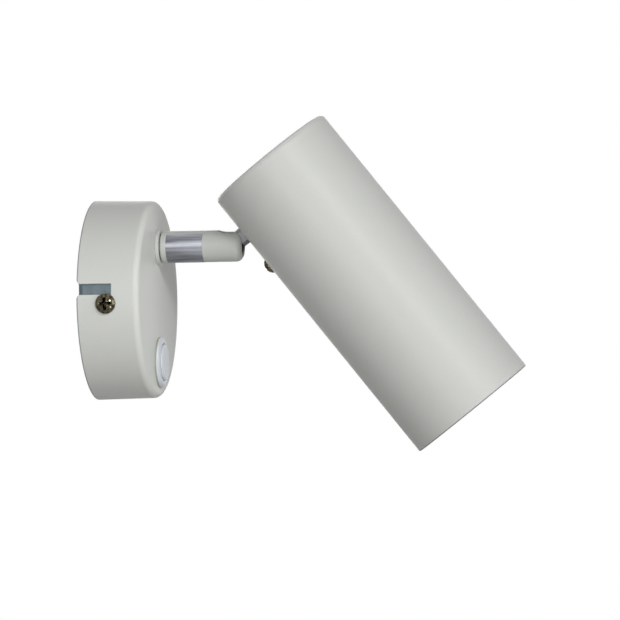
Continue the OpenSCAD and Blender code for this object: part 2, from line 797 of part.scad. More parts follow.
module arm_leads() {
    color(warm_white) at_arm() for (turn = [-90, 30, 150])
        rotate([0, 0, turn]) translate([0, arm_bundle_r, bundle_in + 1])
            cylinder(d = arm_lead_d, h = cup_back + cup_len / 2 - bundle_in - 1);
}

// Head group
module ball_stem() {
    taper = (stem_top_w - stem_root_w) / 2;
    color(dark_nickel) at_pivot() difference() {
        union() {
            sphere(d = ball_d);
            intersection() {
                rotate([-90, 0, 0])
                    cylinder(r1 = stem_root_w / 2 - taper, r2 = stem_top_w / 2 + taper, h = 2 * stem_rise);
                translate([-stem_t / 2, 0, -stem_top_w]) cube([stem_t, 2 * stem_rise, 2 * stem_top_w]);
                difference() {
                    translate([-stem_top_w, 0, -stem_top_w])
                        cube([2 * stem_top_w, 2 * stem_rise, 2 * stem_top_w]);
                    translate([0, axis_rise, -stem_top_w * 2]) cylinder(r = head_r + eps, h = 4 * stem_top_w);
                }
            }
            rotate([-90, 0, 0]) cylinder(d = spigot_d, h = spigot_top);
        }
        rotate([-90, 0, 0]) translate([0, 0, -ball_d]) cylinder(d = stem_bore, h = spigot_top + ball_d + 1);
    }
}

module inside_seat(z, d, t) {
    intersection() {
        translate([0, -head_in_r + t, z]) rotate([90, 0, 0]) cylinder(d = d, h = t + 3);
        cylinder(r = head_in_r - eps, h = head_len, $fn = 240);
    }
}

module saddle_washer() {
    color(zinc) along_head() difference() {
        inside_seat(stem_back, 13, saddle_t);
        translate([0, 0, stem_back]) rotate([90, 0, 0]) cylinder(d = spigot_d + 0.2, h = head_r);
    }
}

module stem_nut() {
    color(zinc) along_head() translate([0, -head_in_r + saddle_t + eps, stem_back]) rotate([-90, 0, 0])
        hex_nut(stem_nut_af, spigot_d + 0.05, stem_nut_h);
}

module head_shell() {
    color(paint) along_head() difference() {
        translate([0, 0, head_len]) rotate([180, 0, 0]) rotate_extrude() difference() {
            drafted_half(head_r, head_len, head_back_r);
            drafted_half(head_in_r, head_len - head_wall, head_back_r - head_wall, 0, 1);
            translate([head_r - head_rim_r, -0.5]) difference() {
                square([head_rim_r + 1, head_rim_r + 0.5]);
                translate([0, head_rim_r + 0.5]) circle(head_rim_r);
                translate([-1, 0]) square([1, head_rim_r + 1]);
            }
        }
        translate([0, 0, stem_back]) rotate([90, 0, 0]) cylinder(d = spigot_d + 0.3, h = head_r + 2);
        translate([0, 0, strap_screw_z]) rotate([90, 0, 0])
            cylinder(d = holder_screw_d + 0.3, h = head_r + 2);
    }
}

module holder_strap() {
    color(zinc) along_head() difference() {
        translate([-strap_w / 2, strap_low, strap_front]) rotate([0, 90, 0])
            linear_extrude(strap_w) bent_profile(strap_leg, strap_rise, strap_t, strap_t + 0.6);
        translate([0, 0, strap_screw_z]) rotate([90, 0, 0]) cylinder(d = holder_screw_d + 0.05, h = head_r);
        for (side = [-1, 1]) translate([0, side * holder_screw_y, strap_back - 1])
            cylinder(d = holder_screw_d + 0.2, h = strap_t + 2);
        for (side = [-1, 1]) translate([side * lamp_lead_x, 0, strap_back - 1])
            cylinder(d = lamp_lead_d + 0.7, h = strap_t + 2);
    }
}

module strap_screw() {
    color(dark_nickel) along_head() translate([0, -head_r - eps, strap_screw_z]) rotate([90, 0, 0])
        round_screw(strap_head_d, strap_head_h, holder_screw_d, head_r + strap_low + strap_t + 1.6);
}

// Ceramic lamp holder with two twist-lock pin ways
module pin_way(width, from, to) {
    end_d = width + 0.1;
    for (side = [0, 180]) rotate([0, 0, side]) {
        translate([pin_pitch / 2, 0, from]) cylinder(d = end_d, h = to - from);
        rotate([0, 0, -pin_turn]) translate([pin_pitch / 2, 0, from]) cylinder(d = end_d, h = to - from);
        rotate([0, 0, -pin_turn]) translate([0, 0, from]) rotate_extrude(angle = pin_turn)
            translate([pin_pitch / 2 - width / 2, 0]) square([width, to - from]);
    }
}

module lamp_holder() {
    flat_w = 21;
    mouth = pin_neck_d + 0.8;
    way = pin_head_d + 0.7;
    color(warm_white) along_head() difference() {
        intersection() {
            translate([0, 0, strap_front + eps]) rotate_extrude()
                drafted_half(holder_d / 2, holder_h - eps, 1);
            translate([-flat_w / 2, -holder_d, strap_front]) cube([flat_w, 2 * holder_d, holder_h + 1]);
        }
        pin_way(mouth, holder_front - 9, holder_front + 1);
        pin_way(way, holder_front - 9.4, holder_front - 3.4);
        for (side = [0, 180]) rotate([0, 0, side - pin_turn])
            translate([pin_pitch / 2, 0, holder_front - 4]) cylinder(d = way + 0.3, h = 5);
        for (side = [-1, 1]) translate([0, side * holder_screw_y, strap_front - 1])
            cylinder(d = holder_screw_d + 0.05, h = 8);
        for (side = [-1, 1]) translate([side * lamp_lead_x, 0, strap_front - 1])
            cylinder(d = lamp_lead_d + 0.7, h = 5);
    }
}

module holder_screws() {
    color(zinc) along_head() for (side = [-1, 1]) translate([0, side * holder_screw_y, strap_back - eps])
        rotate([180, 0, 0]) round_screw(5.4, 1.7, holder_screw_d, strap_t + 5.5);
}

module lamp_leads() {
    color(warm_white) along_head() for (side = [-1, 1]) {
        start = [side * 0.95, spigot_top - axis_rise - 1.5, stem_back];
        finish = [side * lamp_lead_x, 0, strap_front + 3.5];
        swept_tube(smooth([start,
                           start + [0, 3, 0],
                           [side * 3, -10, stem_back + 2.5],
                           [side * 6, -4, strap_back - 14],
                           [side * 4.6, -0.4, strap_back - 6],
                           finish - [0, 0, 5.4],
                           finish], 5), lamp_lead_d, 8);
    }
}

// Lamp: moulded cup on a narrow neck, recessed front, two pins
module lamp_body() {
    cup_start = 17;
    cup_end = lamp_len - lamp_cup_depth;
    flare = cup_end - cup_start;
    rise = lamp_d / 2 - 1 - lamp_neck_r;
    flare_r = (flare * flare + rise * rise) / (2 * rise);
    color(white_plastic) along_head() translate([0, 0, lamp_base]) difference() {
        union() {
            cylinder(r = lamp_neck_r, h = cup_start + 1);
            translate([0, 0, cup_start]) rotate_extrude() intersection() {
                difference() {
                    square([lamp_d / 2 - 1, flare + eps]);
                    translate([lamp_neck_r + flare_r, 0]) circle(flare_r, $fn = 160);
                }
                square([lamp_d / 2 - 1, flare + eps]);
            }
            translate([0, 0, cup_end]) cylinder(r = lamp_d / 2 - 1, h = lamp_cup_depth - 3);
            translate([0, 0, lamp_len - 3.2]) rotate_extrude() drafted_half(lamp_d / 2, 3.2, 1);
        }
        translate([0, 0, lamp_len - lamp_cup_depth + 1]) cylinder(r = lamp_d / 2 - 2.4, h = lamp_cup_depth);
        for (side = [-1, 1]) translate([side * pin_pitch / 2, 0, -1]) cylinder(d = pin_neck_d + 0.05, h = 5);
    }
}

module lamp_pins() {
    color(zinc) along_head() for (side = [-1, 1]) translate([side * pin_pitch / 2, 0, lamp_base]) {
        translate([0, 0, -pin_len]) cylinder(d = pin_neck_d, h = pin_len + 3.5);
        translate([0, 0, -pin_len]) cylinder(d = pin_head_d, h = pin_head_h);
    }
}

module lamp_board() {
    chip = 2.8;
    color(warm_white) along_head() translate([0, 0, lamp_face - lamp_cup_depth + 1 + slip]) {
        cylinder(r = lamp_d / 2 - 3, h = 1.2);
        for (ring_at = [0, 1]) for (k = [0:ring_at * 5]) rotate([0, 0, 60 * k])
            translate([ring_at * 11 - chip / 2, -chip / 2, 1]) cube([chip, chip, 0.9]);
    }
}

module lamp_lens() {
    edge_r = lamp_d / 2 - 2.5;
    edge_t = 1.6;
    crown = 1.2;
    crown_r = (edge_r * edge_r + crown * crown) / (2 * crown);
    color(clear) along_head() translate([0, 0, lamp_face - edge_t - crown]) difference() {
        rotate_extrude() intersection() {
            square([edge_r, edge_t + crown]);
            translate([0, edge_t + crown - crown_r]) circle(crown_r, $fn = 720);
        }
        translate([0, 0, -1]) cylinder(r = edge_r - 2, h = 1.8);
    }
}

wall_bracket();
cable_grommet();
canopy();
lock_screws();
terminal_block();
terminal_clamps();
terminal_screws();
block_screw();
earth_screw();
earth_tag();
switch_body();
switch_nut();
switch_blades();
switch_spring();
switch_button();
live_lead();
switched_lead();
neutral_lead();
earth_lead();
arm_collar();
stop_washer();
wave_washer();
nipple_nut();
nipple();
arm_insert();
arm_tube();
joint_spring();
friction_cup();
arm_leads();
ball_stem();
saddle_washer();
stem_nut();
head_shell();
holder_strap();
strap_screw();
lamp_holder();
holder_screws();
lamp_leads();
lamp_body();
lamp_pins();
lamp_board();
lamp_lens();
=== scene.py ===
# %% [markdown]
# # A wall spotlight in satin powder coat
# The light has a round canopy with a push switch, a short arm that swivels, and a tubular head on
# a ball joint. Its measured model is loaded as a frame and keeps its shape. This lesson gives
# each part its finish, models the small pieces whose shape the frame leaves plain, and lights the
# whole as in a product photograph on white.

# %% Load the measured model
import bpy, bmesh, json, math
from mathutils import Matrix, Quaternion, Vector


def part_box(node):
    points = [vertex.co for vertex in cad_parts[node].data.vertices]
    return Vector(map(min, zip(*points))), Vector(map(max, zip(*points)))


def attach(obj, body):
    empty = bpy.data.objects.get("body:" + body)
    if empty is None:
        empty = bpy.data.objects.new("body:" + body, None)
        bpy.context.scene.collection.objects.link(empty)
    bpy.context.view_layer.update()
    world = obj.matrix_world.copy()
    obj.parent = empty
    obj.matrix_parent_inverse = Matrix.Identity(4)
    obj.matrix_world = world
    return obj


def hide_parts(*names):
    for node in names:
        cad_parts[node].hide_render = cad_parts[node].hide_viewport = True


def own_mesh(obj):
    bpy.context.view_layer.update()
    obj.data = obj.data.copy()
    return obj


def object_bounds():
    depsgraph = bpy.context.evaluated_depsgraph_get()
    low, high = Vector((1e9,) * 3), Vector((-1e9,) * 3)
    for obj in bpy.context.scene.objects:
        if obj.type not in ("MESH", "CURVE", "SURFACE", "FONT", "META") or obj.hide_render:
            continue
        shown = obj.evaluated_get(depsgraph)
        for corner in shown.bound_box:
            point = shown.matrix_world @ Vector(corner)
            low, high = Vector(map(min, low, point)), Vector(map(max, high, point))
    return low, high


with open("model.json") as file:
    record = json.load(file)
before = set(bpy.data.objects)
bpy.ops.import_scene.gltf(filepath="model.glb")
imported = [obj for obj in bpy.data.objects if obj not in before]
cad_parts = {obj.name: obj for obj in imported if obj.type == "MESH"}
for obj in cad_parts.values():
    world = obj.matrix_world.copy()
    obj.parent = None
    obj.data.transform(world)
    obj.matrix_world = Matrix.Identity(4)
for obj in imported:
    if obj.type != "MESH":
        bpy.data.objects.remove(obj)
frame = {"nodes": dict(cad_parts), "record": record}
solid_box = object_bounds()
print("parts in the frame:", len(frame["nodes"]))

# %% [markdown]
# ## Camera
# The camera was solved from the outlines of canopy, arm and head, which are circles and straight
# tubes of known size. It stands 1.84 m away, a little in front of the wall's plane, so that the
# canopy's face just shows, and it leans by less than a degree. A long lens keeps the tubes nearly
# parallel, and nothing is out of focus.

# %% Place the camera
PICTURE = 620                      # width and height of the picture in pixels
FOCAL = 4563                       # focal length in the same pixels
SENSOR = 36                        # width of the camera's sensor in millimetres
CAMERA_AT = (-1.7944, -0.3987, -0.0109)        # metres
# Round the light, up or down, and round the camera's own axis
TURN, DIP, LEAN = math.radians(9.875), math.radians(-0.181), math.radians(-0.854)

toward_camera = Vector((-math.cos(TURN) * math.cos(DIP), -math.sin(TURN) * math.cos(DIP),
                        math.sin(DIP)))
bpy.ops.object.select_all(action="DESELECT")
bpy.ops.object.camera_add(location=CAMERA_AT)
camera = bpy.context.object
camera.name = "studio_camera"
camera.rotation_mode = "QUATERNION"
camera.rotation_quaternion = toward_camera.to_track_quat("Z", "Y") @ Quaternion((0, 0, 1), LEAN)
camera.data.sensor_width = SENSOR
camera.data.lens = FOCAL / PICTURE * SENSOR
bpy.context.scene.camera = camera
print("lens:", round(camera.data.lens), "mm")

# %% [markdown]
# ## Soft boxes
# A pale satin tube only looks round if the light falls off across it. The key box stands beside
# the camera, up and to its right, and makes the bright band along the head. Weaker boxes fill the
# sides, a large one lights the side away from the camera, and a small one, low down, puts a
# second glint on the screws. Each is named for its place or work as the camera sees it, and is
# aimed at the middle of the light. A ratio of right, up and forward gives its direction, where
# forward is towards the camera.

# %% Light the piece
right = camera.rotation_quaternion @ Vector((1, 0, 0))
up = camera.rotation_quaternion @ Vector((0, 1, 0))
middle = (solid_box[0] + solid_box[1]) / 2

def soft_box(name, across, above, forward, away, size, power):
    """A square lamp, this many metres away and wide, in watts"""
    way = (right * across + up * above + toward_camera * forward).normalized()
    bpy.ops.object.light_add(type="AREA", location=middle + way * away)
    lamp = bpy.context.object
    lamp.name = name
    lamp.rotation_mode = "QUATERNION"
    lamp.rotation_quaternion = way.to_track_quat("Z", "Y")
    lamp.data.shape = "SQUARE"
    lamp.data.size = size
    lamp.data.energy = power

SOFT_BOXES = (
    # name, right, up and forward, metres away, metres wide, watts
    ("key_box", 0.45, 0.50, 1.0, 1.5, 0.32, 7.2),
    ("right_box", 1.0, 0.2, 0.6, 1.5, 0.8, 5.0),
    ("front_box", -0.15, 0.1, 1.0, 0.7, 0.3, 1.1),
    ("left_box", -0.5, 0.3, 1.0, 0.7, 0.35, 0.32),
    ("top_box", -0.3, 1.0, 0.4, 0.7, 0.4, 0.12),
    ("spark_box", 0.42, -0.65, 1.0, 0.5, 0.042, 0.14),
    ("far_box", -0.3, 0.15, -1.0, 1.5, 1.0, 4.5),
)
for placed in SOFT_BOXES:
    soft_box(*placed)
print("soft boxes:", len(SOFT_BOXES))

# %% [markdown]
# ## Colours and nodes
# Colours are written as they look on a screen, and one function turns them into the linear values
# that a shader works with. Another adds any shader node, sets its sockets and links them. A
# pattern's scale always comes from a real size in millimetres.

# %% Helpers for a new finish
mm = 0.001                         # in metres

def linear(code):
    """'#RRGGBB' as it looks on a screen, as the shader's linear colour"""
    parts = [int(code[i:i + 2], 16) / 255 for i in (1, 3, 5)]
    return (*[c / 12.92 if c <= 0.04045 else ((c + 0.055) / 1.055) ** 2.4 for c in parts], 1)

def per_metre(size_mm):
    """The scale of a pattern whose features are this big"""
    return 1000 / size_mm

def add(tree, kind, **given):
    """Adds a node. Each name is an input's, with _ for a space, or else a setting's. A value that
    is a node or an output is linked"""
    made = tree.nodes.new("ShaderNode" + kind)
    for name, value in given.items():
        fits = [socket for socket in made.inputs
                if name in (socket.identifier.replace(" ", "_"), socket.name.replace(" ", "_"))]
        if not fits:
            setattr(made, name, value)
            continue
        if isinstance(value, bpy.types.Node):
            value = next(socket for socket in value.outputs if socket.enabled)
        if isinstance(value, bpy.types.NodeSocket):
            tree.links.new(value, fits[0])
        else:
            fits[0].default_value = value
    return made

def new_finish(name):
    """An empty node material, its tree, and the place of a point on the object, in metres"""
    finish = bpy.data.materials.new(name)
    finish.use_nodes = True
    finish.node_tree.nodes.clear()
    print("finish:", name)
    return finish, finish.node_tree, add(finish.node_tree, "TexCoord").outputs["Object"]

print("mid grey on a screen is", round(linear("#808080")[0], 3), "in linear light")

# %% [markdown]
# ## A second colour on a finish
# Some finishes need another colour in one place: a worn edge, a film of grease, or a line where
# two parts meet. One function covers the colour of a finish where a mask says. Another makes the
# most common mask, a band between two distances along an axis.

# %% Helpers for a second colour
OUT = Vector((0, -1, 0))           # straight out from the wall

def node_of(tree, kind):
    """The node of this kind in a tree"""
    return next(node for node in tree.nodes if node.type == kind)

def opened(finish):
    """The tree of a finish, and the place of a point on the object"""
    return finish.node_tree, node_of(finish.node_tree, "TEX_COORD").outputs["Object"]

def mix_in(finish, mask, code):
    """Covers a finish's colour with another where a mask says"""
    tree = finish.node_tree
    base = node_of(tree, "BSDF_PRINCIPLED").inputs["Base Color"]
    both = add(tree, "Mix", data_type="RGBA", Factor_Float=mask, A_Color=base.links[0].from_socket,
               B_Color=linear(code))
    tree.links.new(both.outputs["Result"], base)

def band_of(finish, start, end, code, origin=Vector(), axis=OUT, soft=0.05):
    """Another colour between two distances, in millimetres, from an origin along an axis"""
    tree, place = opened(finish)
    along = add(tree, "VectorMath", operation="DOT_PRODUCT", Vector=place, Vector_001=axis)
    centre = origin.dot(axis) + (start + end) / 2 * mm
    off = add(tree, "Math", operation="SUBTRACT", Value=along.outputs["Value"], Value_001=centre)
    near = add(tree, "Math", operation="ABSOLUTE", Value=off)
    half = (end - start) / 2
    mask = add(tree, "MapRange", Value=near, From_Min=(half + soft) * mm,
               From_Max=(half - soft) * mm)
    mix_in(finish, mask, code)

print("a band lies along", list(OUT), "unless another axis is given")

# %% [markdown]
# ## Frames of arm and head
# Some finishes and most new pieces need to know where the head is. Its frame comes from the
# record: the joint's place and axis, and the angle between arm and stem at rest. The axes of
# head_place are the joint's axis, the stem, and the way the head points.

# %% Frames of arm and head
STEM_TILT = math.radians(52.2)     # between the arm and the stem, at rest
HEAD_RISE, STEM_BACK = 34.6, 17.9  # mm from the pivot to the head's axis, and to its back

tilt = next(joint for joint in frame["record"]["behaviour"]["joints"]
            if joint["name"] == "head_tilt")
pivot, hinge = Vector(tilt["pos_m"]), Vector(tilt["axis"])
arm_side = OUT.cross(hinge)        # up, square to the arm and to the joint's axis
stem = arm_side * math.cos(STEM_TILT) + OUT * math.sin(STEM_TILT)
ahead = hinge.cross(stem)
head_back = pivot + (stem * HEAD_RISE - ahead * STEM_BACK) * mm
head_place = Matrix.Translation(head_back) @ Matrix((hinge, stem, ahead)).transposed().to_4x4()
print("the head points", [round(v, 3) for v in ahead])
print("its back is at", [round(v / mm, 1) for v in head_back], "mm")

# %% [markdown]
# ## White surroundings
# The photograph's background is pure white. The world shows white to the camera, to reflections
# and through clear plastic, but lights the piece only with a weaker, even glow. The Light Path
# node tells these kinds of ray apart.

# %% World
GLOW, WHITE = 0.04, 1.0            # how strongly the world lights, and how strongly it is seen

world = bpy.data.worlds.new("white_studio")
bpy.context.scene.world = world
world.use_nodes = True
air = world.node_tree
air.nodes.clear()
path = add(air, "LightPath")
direct = add(air, "Math", operation="MAXIMUM", Value=path.outputs["Is Camera Ray"],
             Value_001=path.outputs["Is Glossy Ray"])
seen = add(air, "Math", operation="MAXIMUM", Value=direct,
           Value_001=path.outputs["Is Transmission Ray"])
glow = add(air, "Background", Color=(1, 1, 1, 1), Strength=GLOW)
white = add(air, "Background", Color=(1, 1, 1, 1), Strength=WHITE)
add(air, "OutputWorld", Surface=add(air, "MixShader", Fac=seen, Shader=glow, Shader_001=white))
print("the world lights at", GLOW, "and is seen at", WHITE)

# %% [markdown]
# ## Floor
# The floor lies below the reach of the swinging head and takes the shadow. It looks paler to the
# camera than the lamps make it, and half as much paler in reflections, so that the undersides of
# the tubes keep their shade. Its own underside is clear, so that the light can be looked at from
# below.

# %% Floor
FLOOR_DROP, FLOOR_RADIUS = 0.30, 1.3   # metres
FLOOR_SIDES = 96
DUST = 40                          # mm, the size of its faint clouds
FLOOR_GLOW = 0.56                  # what the camera sees on top of the lamps' light
MIRRORED = 0.54                    # how much of that shows in reflections

floor_paint, tree, place = new_finish("matt_white_floor")
dust = add(tree, "TexNoise", Vector=place, Scale=per_metre(DUST), Detail=2)
tone = add(tree, "Mix", data_type="RGBA", Factor_Float=dust, A_Color=linear("#D2D2D0"),
           B_Color=linear("#D6D6D4"))
matt = add(tree, "BsdfDiffuse", Color=tone)
extra = add(tree, "Emission", Strength=FLOOR_GLOW)
lifted = add(tree, "AddShader", Shader=matt, Shader_001=extra)
path = add(tree, "LightPath")
mirrored = add(tree, "Math", operation="MULTIPLY", Value=path.outputs["Is Glossy Ray"],
               Value_001=MIRRORED)
seen = add(tree, "Math", operation="MAXIMUM", Value=path.outputs["Is Camera Ray"],
           Value_001=mirrored)
top_side = add(tree, "MixShader", Fac=seen, Shader=matt, Shader_001=lifted)
below = add(tree, "NewGeometry").outputs["Backfacing"]
both_sides = add(tree, "MixShader", Fac=below, Shader=top_side,
                 Shader_001=add(tree, "BsdfTransparent"))
add(tree, "OutputMaterial", Surface=both_sides)

bpy.ops.mesh.primitive_circle_add(vertices=FLOOR_SIDES, radius=FLOOR_RADIUS, fill_type="NGON",
                                  location=(0, 0, -FLOOR_DROP))
floor = bpy.context.object
floor.name = "floor"
floor.data.materials.append(floor_paint)
print("floor drops", FLOOR_DROP, "m below the middle of the canopy")

# %% [markdown]
# ## Powder coat
# Canopy, collar, arm and head are steel and aluminium in a polyester powder coat, a warm
# grey-white. The powder melts in the oven into a thick satin skin, with a fine orange peel and
# specks, which breaks up highlights, and it draws back round every edge, which softens them. So
# the finish has a noise for each, a third for slow drifts of tone, and the Bevel node, which bends
# the normal near an edge as a small radius would: the frame's edges are sharp, and its meshes stay
# as they are.

# %% Powder coat
SPECK, PEEL, DRIFT = 0.5, 1.4, 25  # mm, the sizes of specks, orange peel and drifts of tone
SPECK_LIFT, PEEL_LIFT = 0.05 * mm, 0.08 * mm
EDGE_RADIUS = 0.45 * mm
MOST_DRIFT = 0.2                   # of the way to the mean

def powder_coat(name, deep, pale, mean):
    """Specks from deep to pale, which drift a little towards the mean"""
    finish, tree, place = new_finish(name)
    speck = add(tree, "TexNoise", Vector=place, Scale=per_metre(SPECK), Detail=2, Roughness=0.6)
    peel = add(tree, "TexNoise", Vector=place, Scale=per_metre(PEEL), Detail=1)
    drift = add(tree, "TexNoise", Vector=place, Scale=per_metre(DRIFT), Detail=1)
    specks = add(tree, "Mix", data_type="RGBA", Factor_Float=speck, A_Color=linear(deep),
                 B_Color=linear(pale))
    share = add(tree, "MapRange", Value=drift, To_Max=MOST_DRIFT)
    hue = add(tree, "Mix", data_type="RGBA", Factor_Float=share, A_Color=specks,
              B_Color=linear(mean))
    gloss = add(tree, "MapRange", Value=peel, To_Min=0.40, To_Max=0.48)
    edge = add(tree, "Bevel", samples=6, Radius=EDGE_RADIUS)
    skin = add(tree, "Bump", Height=speck, Strength=0.2, Distance=SPECK_LIFT, Normal=edge)
    wave = add(tree, "Bump", Height=peel, Strength=0.25, Distance=PEEL_LIFT, Normal=skin)
    coat = add(tree, "BsdfPrincipled", Base_Color=hue, Roughness=gloss, IOR=1.5,
               Specular_IOR_Level=0.35, Normal=wave)
    add(tree, "OutputMaterial", Surface=coat)
    return finish

GREY_WHITE = ("#D0D2CD", "#D8D9D6", "#D3D5D1")
powder = powder_coat("powder_coat_grey_white", *GREY_WHITE)

# %% [markdown]
# ## Lighter and darker copies, and painted rims
# The canopy gets a lighter copy of the powder coat and the arm a darker one: painted light and
# shade. The head keeps the first colours, with a paler band at its back edge, a painted highlight,
# and darker bands at its front rim and at the canopy's rim by the wall, painted shade.

# %% Lighter and darker copies, and painted rims
WALL_RIM_SHADE = (-1.0, 0.45)            # mm from the wall, the band of painted shade at the canopy's cut rim
BACK_EDGE_HIGHLIGHT = (0.1, 1.2)             # mm from the head's back, the band of painted highlight
HEAD_LENGTH = 129.2                # mm, the tube
FRONT_RIM_SHADE = 0.42                     # mm, the band of painted shade at the head's mouth
PAST_RIM = 1                       # mm, so that the band takes in the rim's face

# Painted shade and light: a darker copy of the coat for the arm, a lighter one for the canopy
arm_powder_painted_darker = powder_coat("powder_coat_grey_white_arm", "#C8CAC5", "#CFD1CD", "#CACDC8")
canopy_powder_painted_lighter = powder_coat("powder_coat_grey_white_canopy", "#DDDFDA", "#E4E6E2", "#DFE1DD")
# Painted shade: a darker band at the canopy's rim by the wall
band_of(canopy_powder_painted_lighter, *WALL_RIM_SHADE, "#A3A9AC")
head_powder_with_painted_rims = powder_coat("powder_coat_grey_white_head", *GREY_WHITE)
# Painted highlight: a paler band at the head's back edge
band_of(head_powder_with_painted_rims, *BACK_EDGE_HIGHLIGHT, "#E6E8E4", head_back, ahead, soft=0.35)
# Painted shade: a darker band at the head's front rim
band_of(head_powder_with_painted_rims, HEAD_LENGTH - FRONT_RIM_SHADE, HEAD_LENGTH + PAST_RIM, "#8D9194", head_back, ahead)

# %% [markdown]
# ## A recipe for the other finishes
# Most of the other surfaces vary in the same three ways: the tone drifts in soft clouds, the
# gloss drifts with it, and a finer grain lifts the surface. One recipe makes them, with real
# sizes for cloud and grain, and each finish below says what its metal or plastic is like.

# %% Recipe
NOISE_RANGE = {"From_Min": 0.3, "From_Max": 0.7}     # a noise hardly ever leaves this range

def surface(name, tones, cloud, rough, grain, lift, stretch=(1, 1, 1), **shader):
    """Tones and rough are pairs. Cloud, grain and lift, the grain's height, are in millimetres"""
    finish, tree, place = new_finish(name)
    drawn = add(tree, "Mapping", Vector=place, Scale=stretch)
    clouds = add(tree, "TexNoise", Vector=drawn, Scale=per_metre(cloud), Detail=3)
    spread = add(tree, "MapRange", Value=clouds, **NOISE_RANGE)
    tone = add(tree, "Mix", data_type="RGBA", Factor_Float=spread, A_Color=linear(tones[0]),
               B_Color=linear(tones[1]))
    gloss = add(tree, "MapRange", Value=clouds, To_Min=rough[0], To_Max=rough[1], **NOISE_RANGE)
    grains = add(tree, "TexNoise", Vector=drawn, Scale=per_metre(grain), Detail=2)
    raised = add(tree, "Bump", Height=grains, Distance=lift * mm)
    skin = add(tree, "BsdfPrincipled", Base_Color=tone, Roughness=gloss, Normal=raised, **shader)
    add(tree, "OutputMaterial", Surface=skin)
    return finish

print("a cloud of 3 mm takes the scale", round(per_metre(3)))

# %% [markdown]
# ## Zinc plate
# The bracket, nuts, washers, springs and strap are pressed or coiled steel with a clear blue
# passivated zinc plate. It is satin and blue-grey, faintly cloudy where the bath ran off, and the
# rolled sheet leaves a fine grain, stretched from top to bottom. The grain is drawn at 0.3 mm,
# coarser than the real 0.05 mm, so that it shows.

# %% Zinc plate
zinc = surface("zinc_plated_steel", ("#4E585C", "#616D71"), cloud=3.0, rough=(0.30, 0.46),
               grain=0.3, lift=0.004, stretch=(1, 1, 0.3), Metallic=1.0)

# %% [markdown]
# ## Black nickel
# The lock screws and the strap screw have a thin black nickel plate over bright steel: glossy,
# and nearly black with a warm bronze cast. Its edges wear through to brighter metal, which the
# difference between the Bevel node's normal and the true one finds. The recess is painted
# near-black as shade, where the Ambient Occlusion node finds that little light gets in.

# %% Black nickel
WEAR_REACH = 0.15 * mm             # how far from an edge the plate is worn
BENT, MOST_WEAR = 0.75, 0.5        # the normals' dot product where it is worn most, and how much
RECESS_REACH = 1.5 * mm            # how far away a wall can be that keeps light out
OPEN, SHUT = 0.9, 0.62             # the light a place gets where the painted shade starts, and where it is full

dark_nickel = surface("black_nickel_plated_steel", ("#24211B", "#706956"), cloud=0.9,
                      rough=(0.05, 0.09), grain=0.2, lift=0.001, Metallic=1.0)
tree = dark_nickel.node_tree
bent = add(tree, "Bevel", samples=6, Radius=WEAR_REACH)
true_normal = add(tree, "NewGeometry").outputs["Normal"]
facing = add(tree, "VectorMath", operation="DOT_PRODUCT", Vector=bent, Vector_001=true_normal)
worn = add(tree, "MapRange", Value=facing.outputs["Value"], From_Min=1.0, From_Max=BENT,
           To_Max=MOST_WEAR)
mix_in(dark_nickel, worn, "#8C836E")
# Painted shade: the recess goes near-black where little light gets in
open_air = add(tree, "AmbientOcclusion", samples=8, only_local=True, Distance=RECESS_REACH)
painted_recess_shade = add(tree, "MapRange", Value=open_air.outputs["AO"], From_Min=OPEN, From_Max=SHUT)
mix_in(dark_nickel, painted_recess_shade, "#080706")

# %% [markdown]
# ## Satin nickel and its painted shade
# Ball and stem are one turned piece of steel, nickel plated, satin and cool grey. The ball is
# painted nearly black as shade, wherever the arm's slot shows it. The mask is a distance from the
# ball's centre, which is where the head's joint turns. The same mask takes the metal away, so
# that the painted shade doesn't reflect the white surroundings.

# %% Satin nickel
BALL_SHADE_REACH = 5.6                 # mm from the ball's centre, a little past the ball itself
BALL_SHADE_EDGE = 0.4                  # mm, over which the painted shade fades

satin_nickel = surface("satin_nickel_plated_steel", ("#636266", "#7F7E82"), cloud=2.0,
                       rough=(0.40, 0.52), grain=0.2, lift=0.004, Metallic=1.0,
                       Specular_IOR_Level=0.2)
tree, place = opened(satin_nickel)
reach = add(tree, "VectorMath", operation="DISTANCE", Vector=place, Vector_001=pivot)
painted_ball_shade = add(tree, "MapRange", Value=reach.outputs["Value"],
              From_Min=(BALL_SHADE_REACH + BALL_SHADE_EDGE) * mm, From_Max=BALL_SHADE_REACH * mm)
# Painted shade: the ball is nearly black inside the arm's slot
mix_in(satin_nickel, painted_ball_shade, "#0C0C0D")
bare = add(tree, "MapRange", Value=painted_ball_shade, To_Min=1.0, To_Max=0.0)
tree.links.new(bare.outputs["Result"], node_of(tree, "BSDF_PRINCIPLED").inputs["Metallic"])

# %% [markdown]
# ## Brass
# Clamps, blades, the threaded insert, the earth screw and the friction cup are bare turned brass.
# It is yellow and fairly bright, with fine tool marks, and has dulled a little in patches. The
# arm's insert is darker and duller.

# %% Brass
brass = surface("turned_brass", ("#B08A48", "#D2AF6C"), cloud=2.5, rough=(0.22, 0.36),
                grain=0.15, lift=0.004, Metallic=1.0)
dulled_brass = surface("oiled_dull_brass", ("#45423A", "#605C4E"), cloud=2.0, rough=(0.40, 0.55),
                       grain=0.2, lift=0.006, Metallic=1.0)

# %% [markdown]
# ## Plastics, rubber and ceramic
# The switch is moulded ABS, smooth and bluish white beside the warm paint, with an olive line of
# painted shade where its bezel stands on the canopy. The terminal block and the switch's nut are
# natural nylon, waxy and a little translucent. The grommet is soft grey PVC. The lamp holder is
# glazed steatite, and the lamp's body is a white heat-conducting plastic with the fine spark
# texture of its mould. The white leads in the arm and at the lamp have silicone sleeves, which
# stand the lamp's heat.

# %% Moulded and fired finishes
BEZEL_FOOT_SHADE = (24.6, 25.45)         # mm from the wall, the band of painted shade where the bezel meets the canopy's face
